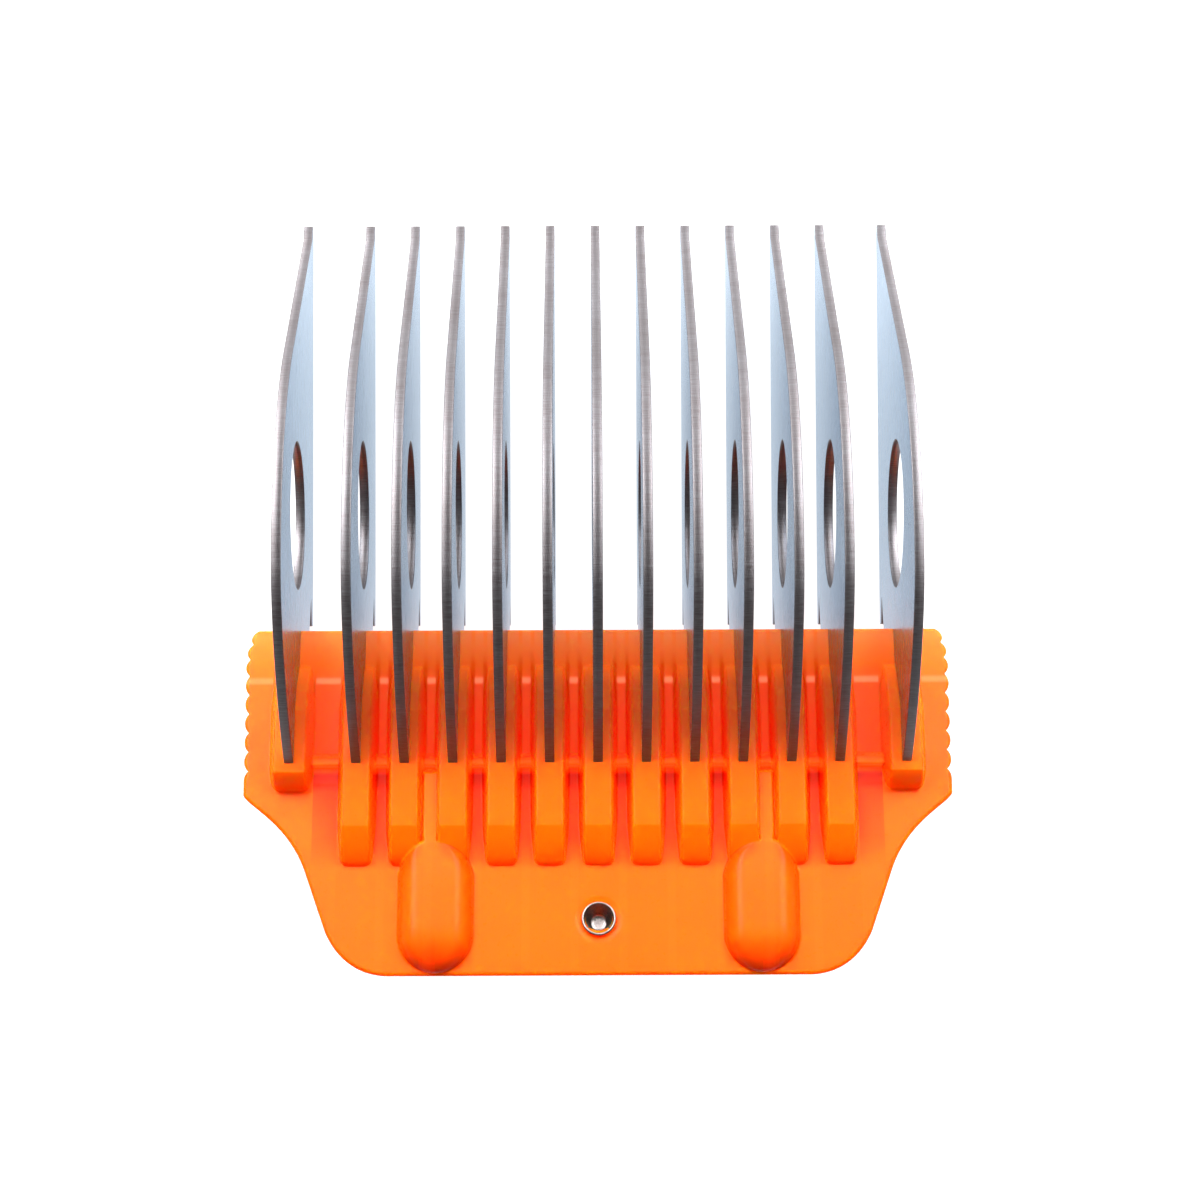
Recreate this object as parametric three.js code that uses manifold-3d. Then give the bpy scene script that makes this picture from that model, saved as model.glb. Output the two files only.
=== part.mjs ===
// Clipper guard comb: thirteen sheet-steel teeth held in a moulded body, with a riveted latch spring.
// Millimetres. X runs across the comb, +Y points to the tooth tips, +Z points to the skin side.
// The comb lies on the straight rear edges of its teeth, which are at Z = 0.
// Side profiles are written as [d, z], where d is the distance back from the tooth tips.
import * as THREE from 'three';
import { mergeVertices } from 'three/addons/utils/BufferGeometryUtils.js';
import Module from 'manifold-3d';

const wasm = await Module();
wasm.setup();

// Overall
const LENGTH = 74.1;
const TIP_Y = LENGTH / 2;

// Teeth
const INNER_TEETH = 11;
const TOOTH_PITCH = 4.55;
const OUTER_GAP = 6.3;
const TOOTH_THICKNESS = 0.9;
const TIP_RADIUS = 0.5;
const RAMP_SLOPE = 1.42;
const RAMP_OFFSET = 1.15;
const RAMP_FOOT_D = 1.4;
const RAMP_FOOT_RISE = 0.35;
const CROWN_Z = 31.8;
const CROWN_D = 36.7;
const CROWN_RADIUS = 26;
const CROWN_REACH = 6;
const HEEL_D = 54.9;
const HEEL_Z = 18.9;
const HEEL_REACH_D = 4.9;
const HEEL_REACH_Z = 6.3;
const HEEL_CORNER = 0.8;
const HOLE_RADIUS = 7.1;
const HOLE_D = 30.7;
const HOLE_Z = 16;
const PRONG_D = 40.6;
const WEDGE_DEPTH = 2.6;
const WEDGE_EDGE = 0.2;
const WEDGE_TOP_Z = 2.25;
const WEDGE_FOOT_Z = 1.4;
const ROOT_STEP_Z = 3.5;
const ROOT_START_D = 42.6;
const ROOT_END_D = 56.4;
const ROOT_COVER = 1.3;

// Body, front
const LIP_D = 41.4;
const LIP_FRONT_Z = 7.2;
const CREASE_D = 46.3;
const CREASE_Z = 13.1;
const FLOOR_REF_D = 54;
const FLOOR_REF_Z = 16.6;
const FLOOR_SLOPE = 0.31;
const FLOOR_ANGLE = Math.atan(FLOOR_SLOPE);

// Body, back. WALL is measured straight up and WALL_ACROSS at right angles to the floor.
const SEAT_Z = 3.3;
const SEAT_SLOPE = 0.41;
const WALL = 2.7;
const WALL_ACROSS = WALL * Math.cos(FLOOR_ANGLE);
const SKIRT = 2.2;
const POCKET_START_D = 58;
const CORE_WIDTH = 1.3;
const CORE_START_D = 45.4;
const CORE_START_DEPTH = 3;
const CORE_END_D = 56;
const CORE_END_DEPTH = 5;

// Body outline
const GRIP_HALF = 33.85;
const BLOCK_WIDTH = GRIP_HALF * 2.2;
const SCALLOP_PITCH = 1.82;
const SCALLOP_DEPTH = 0.45;
const LIP_PITCH_SHARES = [0.74, 0.81, 0.88];
const FLOOR_SCALLOPS = 5;
const BUMP_SIDE = 0.22;
const BUMP_DROP = 0.12;
const GRIP_END_D = 57;
const GRIP_CORNER = 0.75;
const WAIST_HALF = 27.4;
const WAIST_D = 64.6;
const WAIST_REACH = 3;
const TAIL_HALF = 25.36;
const TAIL_D = 70;
const TAIL_REACH = 2.9;
const BOTTOM_HALF = 19.4;

// Ribs
const RIB_WIDTH = 2.7;
const RIB_RISE = [[43, 9.2], [45.5, 14.4], [47.4, 17.1]];
const RIB_CREST_D = 49.4;
const RIB_CREST_Z = 18.6;
const RIB_END_D = 60.3;
const RIB_END_Z = 21.2;
const RIB_FOOT_D = 64;
const RIB_NOSE = 0.6;
const OUTER_RIB_END_D = 55.4;
const OUTER_RIB_FOOT_D = 57;
const OUTER_RIB_WIDTH = 3.1;
const RIDGE_D = 53.9;
const RIDGE_WIDTH = 1.2;
const RIDGE_HEIGHT = 0.9;
const RIDGE_EDGE = 0.2;
const RIDGE_SLANT = 0.3;

// Screw blisters and their stems
const BLISTER_X = 15.2;
const BLISTER_HALF = 3.5;
const BLISTER_TOP_D = 62.3;
const BLISTER_SHOULDER_D = 65.2;
const BLISTER_END_D = 73.7;
const BLISTER_HEIGHT = 2.1;
const BLISTER_FLAT_HALF = 1.7;
const BLISTER_FLAT_TOP_D = 63.2;
const BLISTER_FLAT_END_D = 70.6;
const BLISTER_WALL = 1.3;
const BLISTER_ROOT = 1.4;
const STEM_X = 15.75;
const STEM_WIDTH = 1.3;
const STEM_HEIGHT = 1.9;
const STEM_START_D = 54.4;
const STEM_END_D = 63.3;

// Rivet
const RIVET_D = 69;
const RIVET_SHANK_RADIUS = 1.25;
const RIVET_RIM_RADIUS = 1.64;
const RIVET_RIM_HEIGHT = 0.45;
const RIVET_RIM_WALL = 0.3;
const RIVET_CUP_RADIUS = 0.85;
const RIVET_CUP_DEPTH = 1.6;
const RIVET_HEAD_RADIUS = 2.6;
const RIVET_HEAD_HEIGHT = 0.7;
const RIVET_HOLE_RADIUS = 1.5;

// Latch spring
const SPRING_WIDTH = 11;
const SPRING_THICKNESS = 0.5;
const BEND_D = 60.6;
const BEND_GAP = 2.0;
const FOOT_LENGTH = 11.2;
const ARM_LENGTH = 11.8;
const HOOK_DROP = 4.9;
const HOOK_CATCH = 1.4;
const HOOK_LIP = 1.7;
const HOOK_BEND = 0.65;
const HOOK_LEAN = 0.15;
const HOOK_FOLD = 1.15;
const HOOK_FLARE = 0.65;
const ACCESS_RADIUS = 2;
const RIVET_PLAY = 0.15;
const BEND_SPLIT = 0.03;
const NOTCH_WIDTH = 13;
const NOTCH_START_D = 70.9;

// Fits
const GAP = 0.3;
const TOUCH = 0.04;

const yAt = (d) => TIP_Y - d;
const floorZ = (d) => FLOOR_REF_Z + FLOOR_SLOPE * (d - FLOOR_REF_D);
const seatZ = (d) => SEAT_Z + SEAT_SLOPE * (d - LIP_D);
const ceilingZ = (d) => floorZ(d) - WALL;
const ROOT_START_Z = seatZ(ROOT_START_D) + ROOT_COVER - 0.2;

const toothX = [];
for (let i = 0; i < INNER_TEETH; i++) {
  toothX.push((i - (INNER_TEETH - 1) / 2) * TOOTH_PITCH);
}
const outerX = toothX[INNER_TEETH - 1] + OUTER_GAP;
toothX.unshift(-outerX);
toothX.push(outerX);
const isOuter = (i) => i === 0 || i === toothX.length - 1;

const sideToWorld = new THREE.Matrix4().makeBasis(
  new THREE.Vector3(0, 1, 0),
  new THREE.Vector3(0, 0, 1),
  new THREE.Vector3(1, 0, 0),
);

function solidOf(geometry) {
  geometry.deleteAttribute('normal');
  geometry.deleteAttribute('uv');
  const welded = mergeVertices(geometry, 1e-4);
  const mesh = new wasm.Mesh({
    numProp: 3,
    vertProperties: new Float32Array(welded.attributes.position.array),
    triVerts: new Uint32Array(welded.index.array),
  });
  return new wasm.Manifold(mesh);
}

function geometryOf(solid) {
  const mesh = solid.getMesh();
  const geometry = new THREE.BufferGeometry();
  geometry.setAttribute('position', new THREE.BufferAttribute(new Float32Array(mesh.vertProperties), 3));
  geometry.setIndex(new THREE.BufferAttribute(new Uint32Array(mesh.triVerts), 1));
  geometry.computeVertexNormals();
  return geometry;
}

function shapeOf(points) {
  return new THREE.Shape(points.map(([x, y]) => new THREE.Vector2(x, y)));
}

// A side profile of [d, z] points, extruded across the comb about x.
function slab(profile, x, width) {
  const shape = shapeOf(profile.map(([d, z]) => [yAt(d), z]));
  const geometry = new THREE.ExtrudeGeometry(shape, { depth: width, bevelEnabled: false });
  geometry.translate(0, 0, x - width / 2);
  geometry.applyMatrix4(sideToWorld);
  return solidOf(geometry);
}

// A plan shape extruded straight up from zLow to zHigh.
function prism(shape, zLow, zHigh) {
  const geometry = new THREE.ExtrudeGeometry(shape, { depth: zHigh - zLow, bevelEnabled: false });
  geometry.translate(0, 0, zLow);
  return solidOf(geometry);
}

// Places geometry made on the floor plane: local x across, local y towards the tips, local z outwards.
function onFloor(geometry, x, d) {
  const sin = Math.sin(FLOOR_ANGLE);
  const cos = Math.cos(FLOOR_ANGLE);
  const place = new THREE.Matrix4().makeBasis(
    new THREE.Vector3(1, 0, 0),
    new THREE.Vector3(0, cos, -sin),
    new THREE.Vector3(0, sin, cos),
  );
  place.setPosition(x, yAt(d), floorZ(d));
  geometry.applyMatrix4(place);
  return geometry;
}

// Points along a circular arc, both ends included.
function arc(centre, radius, startAngle, endAngle, steps) {
  const points = [];
  for (let i = 0; i <= steps; i++) {
    const angle = startAngle + ((endAngle - startAngle) * i) / steps;
    points.push([centre[0] + radius * Math.cos(angle), centre[1] + radius * Math.sin(angle)]);
  }
  return points;
}

function bezier(from, c1, c2, to, steps) {
  const v = (p) => new THREE.Vector2(p[0], p[1]);
  const curve = new THREE.CubicBezierCurve(v(from), v(c1), v(c2), v(to));
  return curve.getPoints(steps).map((p) => [p.x, p.y]);
}

// ---- Teeth ----

function toothProfile() {
  const rampAngle = Math.atan(RAMP_SLOPE);
  const rampTop = CROWN_RADIUS * Math.sin(rampAngle);
  const tipPoints = arc([TIP_RADIUS, TIP_RADIUS], TIP_RADIUS, Math.PI * 1.5, Math.PI * 0.8, 4);
  const crown = [];
  const steps = 9;
  for (let i = 0; i <= steps; i++) {
    const dd = rampTop * (1 - i / steps);
    const drop = CROWN_RADIUS - Math.sqrt(CROWN_RADIUS ** 2 - dd ** 2);
    crown.push([CROWN_D - dd, CROWN_Z - drop]);
  }
  const rampFoot = [RAMP_FOOT_D, RAMP_SLOPE * RAMP_FOOT_D - RAMP_OFFSET + RAMP_FOOT_RISE];
  const heel = bezier(
    [CROWN_D, CROWN_Z],
    [CROWN_D + CROWN_REACH, CROWN_Z],
    [HEEL_D - HEEL_REACH_D, HEEL_Z + HEEL_REACH_Z],
    [HEEL_D, HEEL_Z],
    9,
  );
  const root = [
    [ROOT_END_D - HEEL_CORNER, HEEL_Z - 1],
    [ROOT_END_D, HEEL_Z - 1 - HEEL_CORNER],
    [ROOT_END_D, seatZ(ROOT_END_D) + ROOT_COVER],
    [ROOT_START_D, ROOT_START_Z],
    [PRONG_D, ROOT_STEP_Z],
  ];
  const wedge = [
    [PRONG_D - WEDGE_DEPTH, WEDGE_TOP_Z],
    [PRONG_D - WEDGE_DEPTH, WEDGE_TOP_Z - WEDGE_EDGE],
    [PRONG_D, WEDGE_FOOT_Z],
    [PRONG_D, 0],
  ];
  return [...tipPoints, rampFoot, ...crown, ...heel.slice(1), ...root, ...wedge];
}

function toothGeometry(x) {
  const shape = shapeOf(toothProfile().map(([d, z]) => [yAt(d), z]));
  const hole = new THREE.Path();
  hole.absarc(yAt(HOLE_D), HOLE_Z, HOLE_RADIUS, 0, Math.PI * 2, true);
  shape.holes.push(hole);
  const geometry = new THREE.ExtrudeGeometry(shape, {
    depth: TOOTH_THICKNESS,
    bevelEnabled: false,
    curveSegments: 12,
  });
  geometry.translate(0, 0, x - TOOTH_THICKNESS / 2);
  geometry.applyMatrix4(sideToWorld);
  return geometryOf(solidOf(geometry));
}

// ---- Body ----

// Right half of the outline, from the lip down to the bottom edge.
function halfOutline(inset) {
  const points = [];
  const gripX = GRIP_HALF - inset;
  let d = LIP_D;
  points.push([gripX - SCALLOP_DEPTH, yAt(d)]);
  for (const share of [...LIP_PITCH_SHARES, ...Array(FLOOR_SCALLOPS).fill(1)]) {
    const pitch = SCALLOP_PITCH * share;
    if (inset === 0) {
      points.push([gripX - BUMP_DROP, yAt(d + pitch * BUMP_SIDE)]);
      points.push([gripX, yAt(d + pitch / 2)]);
      points.push([gripX - BUMP_DROP, yAt(d + pitch * (1 - BUMP_SIDE))]);
      points.push([gripX - SCALLOP_DEPTH, yAt(d + pitch)]);
    }
    d += pitch;
  }
  points.push([gripX - BUMP_DROP, yAt(d + SCALLOP_PITCH / 4)]);
  points.push([gripX - BUMP_DROP * 2, yAt(GRIP_END_D - (1 + inset) / 2)]);
  const waist = bezier(
    [gripX - GRIP_CORNER, GRIP_END_D + 0.2 - inset * 0.7],
    [gripX - GRIP_CORNER - WAIST_REACH, GRIP_END_D + WAIST_REACH - inset / 2],
    [WAIST_HALF + WAIST_REACH / 3 - inset, WAIST_D - WAIST_REACH],
    [WAIST_HALF - inset, WAIST_D],
    7,
  );
  const tail = bezier(
    [TAIL_HALF - inset, TAIL_D],
    [TAIL_HALF - TAIL_REACH / 2 - inset, TAIL_D + TAIL_REACH - inset / 2],
    [BOTTOM_HALF + TAIL_REACH - inset, LENGTH - inset],
    [BOTTOM_HALF - inset, LENGTH - inset],
    7,
  );
  for (const [x, back] of [...waist, ...tail]) {
    points.push([x, yAt(back)]);
  }
  return points;
}

function outlineShape(inset) {
  const right = halfOutline(inset);
  const left = [...right].reverse().map(([x, y]) => [-x, y]);
  return shapeOf([...right, ...left]);
}

function ribProfile(endD, footD) {
  const slope = (RIB_END_Z - RIB_CREST_Z) / (RIB_END_D - RIB_CREST_D);
  const endZ = RIB_CREST_Z + slope * (endD - RIB_CREST_D);
  const nose = bezier(
    [endD, endZ],
    [footD - RIB_NOSE, endZ + RIB_NOSE / 2],
    [footD, endZ - RIB_NOSE / 2],
    [footD, floorZ(footD) - RIB_NOSE],
    6,
  );
  const lip = [[LIP_D, LIP_FRONT_Z - RIB_NOSE], [LIP_D, LIP_FRONT_Z]];
  return [...lip, ...RIB_RISE, [RIB_CREST_D, RIB_CREST_Z], ...nose];
}

// Joins rings with the same number of points into one closed solid, capped at both ends.
function loft(rings) {
  const count = rings[0].length;
  const positions = rings.flat(2);
  const index = [];
  for (let r = 0; r + 1 < rings.length; r++) {
    for (let i = 0; i < count; i++) {
      const a = r * count + i;
      const b = r * count + ((i + 1) % count);
      index.push(a, b, b + count, a, b + count, a + count);
    }
  }
  const flat = rings[0].map(([x, y]) => new THREE.Vector2(x, y));
  const last = (rings.length - 1) * count;
  for (const [a, b, c] of THREE.ShapeUtils.triangulateShape(flat, [])) {
    index.push(a, c, b);
  }
  const top = rings[rings.length - 1].map(([x, y]) => new THREE.Vector2(x, y));
  for (const [a, b, c] of THREE.ShapeUtils.triangulateShape(top, [])) {
    index.push(last + a, last + b, last + c);
  }
  const geometry = new THREE.BufferGeometry();
  geometry.setAttribute('position', new THREE.Float32BufferAttribute(positions, 3));
  geometry.setIndex(index);
  return geometry;
}

// One level of a screw blister, seen from outside: round at the bottom and pointed at the top.
function blisterRing(half, apexHalf, topD, shoulderD, endD, z) {
  const middle = (BLISTER_SHOULDER_D + BLISTER_END_D) / 2;
  const at = (d) => (middle - d) / Math.cos(FLOOR_ANGLE);
  const round = arc([0, at(endD - half)], half, -Math.PI, 0, 10);
  return [
    [-apexHalf, at(topD)],
    [-half, at(shoulderD)],
    ...round,
    [half, at(shoulderD)],
    [apexHalf, at(topD)],
  ].map(([x, y]) => [x, y, z]);
}

// A blister for a blade screw, with a flat top. Inset and sink make the matching hollow behind it.
function blister(x, inset, sink) {
  const half = BLISTER_HALF - inset;
  const flatHalf = BLISTER_FLAT_HALF - inset / 2;
  const base = [half, STEM_WIDTH / 2, BLISTER_TOP_D + inset, BLISTER_SHOULDER_D, BLISTER_END_D - inset];
  const flat = [flatHalf, STEM_WIDTH / 3, BLISTER_FLAT_TOP_D + inset, BLISTER_SHOULDER_D, BLISTER_FLAT_END_D];
  const middle = (BLISTER_SHOULDER_D + BLISTER_END_D) / 2;
  const geometry = loft([
    blisterRing(...base, -BLISTER_ROOT - sink),
    blisterRing(...base, -sink),
    blisterRing(...flat, BLISTER_HEIGHT - sink),
  ]);
  return solidOf(onFloor(geometry, x, middle));
}

function bodySolid() {
  const block = slab(
    [
      [LIP_D, SEAT_Z],
      [LIP_D, LIP_FRONT_Z],
      [CREASE_D, CREASE_Z],
      [FLOOR_REF_D, FLOOR_REF_Z],
      [LENGTH, floorZ(LENGTH)],
      [LENGTH, seatZ(LENGTH)],
    ],
    0,
    BLOCK_WIDTH,
  );
  let body = block.intersect(prism(outlineShape(0), 0, CROWN_Z));

  for (let i = 0; i < toothX.length; i++) {
    const outer = isOuter(i);
    const profile = outer ? ribProfile(OUTER_RIB_END_D, OUTER_RIB_FOOT_D) : ribProfile(RIB_END_D, RIB_FOOT_D);
    body = body.add(slab(profile, toothX[i], outer ? OUTER_RIB_WIDTH : RIB_WIDTH));
  }
  const ridgeTop = floorZ(RIDGE_D + RIDGE_WIDTH) + RIDGE_HEIGHT;
  body = body.add(
    slab(
      [
        [RIDGE_D - RIDGE_SLANT, floorZ(RIDGE_D) - RIDGE_HEIGHT],
        [RIDGE_D - RIDGE_SLANT, floorZ(RIDGE_D)],
        [RIDGE_D + RIDGE_SLANT, ridgeTop - RIDGE_EDGE],
        [RIDGE_D + RIDGE_WIDTH - RIDGE_EDGE, ridgeTop],
        [RIDGE_D + RIDGE_WIDTH, ridgeTop - RIDGE_EDGE],
        [RIDGE_D + RIDGE_WIDTH, floorZ(RIDGE_D) - RIDGE_HEIGHT],
      ],
      0,
      outerX * 2,
    ),
  );

  const pocket = slab(
    [
      [POCKET_START_D, 0],
      [POCKET_START_D, ceilingZ(POCKET_START_D)],
      [LENGTH, ceilingZ(LENGTH)],
      [LENGTH, 0],
    ],
    0,
    BLOCK_WIDTH,
  );
  body = body.subtract(pocket.intersect(prism(outlineShape(SKIRT), 0, CROWN_Z)));

  for (const side of [-1, 1]) {
    body = body.add(blister(side * BLISTER_X, 0, 0));
    const stem = slab(
      [
        [STEM_START_D, floorZ(STEM_START_D) - STEM_HEIGHT / 2],
        [STEM_START_D, floorZ(STEM_START_D) + STEM_HEIGHT],
        [STEM_END_D, floorZ(STEM_END_D) + STEM_HEIGHT],
        [STEM_END_D, floorZ(STEM_END_D) - STEM_HEIGHT / 2],
      ],
      side * STEM_X,
      STEM_WIDTH,
    );
    body = body.add(stem);
    body = body.subtract(blister(side * BLISTER_X, BLISTER_WALL, WALL));
  }

  // Slots that hold the tooth roots, and the hollows cored between them from the back.
  const slot = [
    [PRONG_D, ROOT_STEP_Z - 2 * GAP],
    [ROOT_START_D, ROOT_START_Z - GAP],
    [ROOT_END_D + GAP, seatZ(ROOT_END_D) + ROOT_COVER - GAP],
    [ROOT_END_D + GAP, HEEL_Z - 1 - GAP],
    [HEEL_D + HEEL_CORNER, HEEL_Z + GAP],
    [HEEL_D + GAP, CROWN_Z],
    [PRONG_D, CROWN_Z],
  ];
  for (const x of toothX) {
    body = body.subtract(slab(slot, x, TOOTH_THICKNESS + 2 * GAP));
  }
  for (let i = 1; i < INNER_TEETH; i++) {
    const x = (toothX[i] + toothX[i + 1]) / 2;
    const core = [
      [CORE_START_D, 0],
      [CORE_START_D, seatZ(CORE_START_D) + CORE_START_DEPTH],
      [CORE_END_D, seatZ(CORE_END_D) + CORE_END_DEPTH],
      [CORE_END_D, 0],
    ];
    body = body.subtract(slab(core, x, CORE_WIDTH));
  }

  // Rivet hole and the notch that the hook passes through.
  const bore = new THREE.CylinderGeometry(RIVET_HOLE_RADIUS, RIVET_HOLE_RADIUS, WALL * 4, 24);
  bore.rotateX(Math.PI / 2);
  body = body.subtract(solidOf(onFloor(bore, 0, RIVET_D)));
  const notch = slab(
    [
      [NOTCH_START_D, 0],
      [NOTCH_START_D, ceilingZ(NOTCH_START_D)],
      [LENGTH + 1, ceilingZ(LENGTH + 1)],
      [LENGTH + 1, 0],
    ],
    0,
    NOTCH_WIDTH,
  );
  return body.subtract(notch);
}

// ---- Rivet ----

function rivetGeometry() {
  const inner = -WALL_ACROSS - SPRING_THICKNESS - 3 * TOUCH;
  const quarter = arc([0, 0], 1, -Math.PI / 2, 0, 5);
  const dome = quarter.map(([r, z]) => [r * RIVET_HEAD_RADIUS, inner + z * RIVET_HEAD_HEIGHT]);
  const rimMiddle = RIVET_RIM_RADIUS - RIVET_RIM_WALL / 2;
  const rim = arc([rimMiddle, RIVET_RIM_HEIGHT - RIVET_RIM_WALL / 2], RIVET_RIM_WALL / 2, 0, Math.PI, 4);
  const profile = [
    ...dome,
    [RIVET_SHANK_RADIUS, inner],
    [RIVET_SHANK_RADIUS, TOUCH],
    [rimMiddle, TOUCH],
    ...rim,
    [RIVET_CUP_RADIUS, RIVET_RIM_WALL / 2 - RIVET_CUP_DEPTH],
    [0, -RIVET_CUP_DEPTH],
  ];
  const points = profile.map(([r, z]) => new THREE.Vector2(r, z));
  const geometry = new THREE.LatheGeometry(points, 32);
  geometry.rotateX(Math.PI / 2);
  return geometryOf(solidOf(onFloor(geometry, 0, RIVET_D)));
}

// ---- Latch spring ----

// Local frame of the spring: a runs back from the bend line, h runs down from the body's inner face.
function springStrip(points, holeRadius, holeDepth) {
  const origin = [yAt(BEND_D), ceilingZ(BEND_D) - TOUCH];
  const sin = Math.sin(FLOOR_ANGLE);
  const cos = Math.cos(FLOOR_ANGLE);
  const mapped = points.map(([a, h]) => [origin[0] - a * cos - h * sin, origin[1] + a * sin - h * cos]);
  const geometry = new THREE.ExtrudeGeometry(shapeOf(mapped), { depth: SPRING_WIDTH, bevelEnabled: false });
  geometry.translate(0, 0, -SPRING_WIDTH / 2);
  geometry.applyMatrix4(sideToWorld);
  const bore = new THREE.CylinderGeometry(holeRadius, holeRadius, 2, 24);
  bore.rotateX(Math.PI / 2);
  bore.translate(0, 0, -holeDepth);
  return geometryOf(solidOf(geometry).subtract(solidOf(onFloor(bore, 0, RIVET_D))));
}

// Thickens a middle line of [a, h] points into a closed outline.
function thicken(line, thickness) {
  const points = line.map(([a, h]) => new THREE.Vector2(a, h));
  const last = points.length - 1;
  const left = [];
  const right = [];
  points.forEach((point, i) => {
    const from = Math.max(i, 1);
    const to = Math.min(i, last - 1);
    const into = new THREE.Vector2().subVectors(points[from], points[from - 1]).normalize();
    const out = new THREE.Vector2().subVectors(points[to + 1], points[to]).normalize();
    const along = new THREE.Vector2().addVectors(into, out).normalize();
    const reach = thickness / 2 / along.dot(into);
    left.push([point.x - along.y * reach, point.y + along.x * reach]);
    right.push([point.x + along.y * reach, point.y - along.x * reach]);
  });
  return [...left, ...right.reverse()];
}

const bendRadius = (BEND_GAP + SPRING_THICKNESS) / 2;
const bendCentre = [0, bendRadius + SPRING_THICKNESS / 2];
const armLevel = bendCentre[1] + bendRadius;

function springFootGeometry() {
  const bend = arc(bendCentre, bendRadius, Math.PI * 1.5, Math.PI * (1 + BEND_SPLIT), 5);
  const line = [[FOOT_LENGTH, SPRING_THICKNESS / 2], ...bend];
  return springStrip(thicken(line, SPRING_THICKNESS), RIVET_SHANK_RADIUS + RIVET_PLAY, WALL_ACROSS);
}

function springArmGeometry() {
  const end = ARM_LENGTH - SPRING_THICKNESS / 2;
  const low = armLevel + SPRING_THICKNESS / 2 + HOOK_DROP;
  const line = [
    ...arc(bendCentre, bendRadius, Math.PI * (1 - BEND_SPLIT), Math.PI / 2, 5),
    ...arc([end - HOOK_BEND, armLevel + HOOK_BEND], HOOK_BEND, -Math.PI / 2, 0, 3),
    [end - HOOK_LEAN, low - HOOK_FOLD],
    [end - HOOK_CATCH, low],
    [end - HOOK_CATCH + HOOK_FLARE, low + HOOK_LIP],
  ];
  return springStrip(thicken(line, SPRING_THICKNESS), ACCESS_RADIUS, WALL_ACROSS + armLevel);
}

// ---- Assembly ----

const group = new THREE.Group();
group.name = 'clipper_guard_comb';

function addPart(name, geometry, color, metalness, roughness) {
  const material = new THREE.MeshStandardMaterial({ color, metalness, roughness });
  const mesh = new THREE.Mesh(geometry, material);
  mesh.name = name;
  group.add(mesh);
}

addPart('comb_body', geometryOf(bodySolid()), 0xff7a1e, 0, 0.35);
toothX.forEach((x, i) => {
  addPart(`tooth_${String(i + 1).padStart(2, '0')}`, toothGeometry(x), 0xb8c4cc, 1, 0.35);
});
addPart('rivet', rivetGeometry(), 0xc9c9c4, 1, 0.3);
addPart('latch_spring_foot', springFootGeometry(), 0xa9adb0, 1, 0.3);
addPart('latch_spring_arm', springArmGeometry(), 0xa9adb0, 1, 0.3);

export default group;
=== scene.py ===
"""Clipper guard comb: the finished look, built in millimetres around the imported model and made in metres.

Depths are written as d, the distance back from the tooth tips, as in the part's own source.
"""

import math

import bmesh
import bpy
import numpy as np
from mathutils import Matrix, Vector


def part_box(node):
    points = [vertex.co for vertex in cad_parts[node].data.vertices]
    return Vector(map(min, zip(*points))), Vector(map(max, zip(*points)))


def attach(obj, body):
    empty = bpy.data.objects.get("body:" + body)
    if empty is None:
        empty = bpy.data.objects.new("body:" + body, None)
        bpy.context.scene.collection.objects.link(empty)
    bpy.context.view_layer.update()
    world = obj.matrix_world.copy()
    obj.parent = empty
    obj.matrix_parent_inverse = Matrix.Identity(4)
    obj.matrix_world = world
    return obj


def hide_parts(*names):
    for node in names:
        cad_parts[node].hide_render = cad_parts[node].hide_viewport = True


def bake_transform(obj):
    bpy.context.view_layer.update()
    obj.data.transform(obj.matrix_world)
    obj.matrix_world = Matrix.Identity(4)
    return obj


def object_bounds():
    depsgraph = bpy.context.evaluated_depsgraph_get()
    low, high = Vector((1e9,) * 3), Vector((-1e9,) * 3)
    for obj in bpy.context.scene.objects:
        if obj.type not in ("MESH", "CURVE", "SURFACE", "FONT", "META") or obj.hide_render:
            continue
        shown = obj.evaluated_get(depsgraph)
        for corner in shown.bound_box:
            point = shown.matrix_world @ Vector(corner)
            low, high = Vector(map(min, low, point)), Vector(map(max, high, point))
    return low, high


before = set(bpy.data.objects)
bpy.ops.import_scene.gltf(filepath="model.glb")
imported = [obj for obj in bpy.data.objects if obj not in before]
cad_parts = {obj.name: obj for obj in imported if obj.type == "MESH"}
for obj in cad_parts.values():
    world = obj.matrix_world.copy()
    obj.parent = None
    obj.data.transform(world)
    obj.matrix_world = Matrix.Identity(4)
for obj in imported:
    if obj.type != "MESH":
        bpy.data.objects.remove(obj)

CAD_LOW, CAD_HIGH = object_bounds()
MM = 0.001

# ---- Driving sizes, in millimetres ----

# The whole part and its teeth.
LENGTH = (CAD_HIGH.y - CAD_LOW.y) / MM
TIP_Y = CAD_HIGH.y / MM

TOOTH_NAMES = sorted(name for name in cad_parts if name.startswith("tooth_"))
TOOTH_THICKNESS = (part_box(TOOTH_NAMES[0])[1].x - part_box(TOOTH_NAMES[0])[0].x) / MM
TOOTH_X = [(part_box(name)[0].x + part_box(name)[1].x) / 2 / MM for name in TOOTH_NAMES]
TIP_RADIUS = 0.5
RAMP_START_D, RAMP_START_Z, RAMP_SLOPE = 1.4, 1.188, 1.42
CROWN_D, CROWN_Z, CROWN_RADIUS, CROWN_REACH = 36.7, CAD_HIGH.z / MM, 26.0, 6.0
HEEL_D, HEEL_Z, HEEL_REACH_D, HEEL_REACH_Z = 55.1, 18.9, 4.5, 6.3
HOLE_RADIUS, HOLE_D, HOLE_Z = 7.1, 30.7, 16.0
PRONG_D, WEDGE_DEPTH = 40.6, 2.6
WEDGE_TOP_Z, WEDGE_LOW_Z, WEDGE_MOUTH_Z = 2.25, 2.05, 1.4
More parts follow.
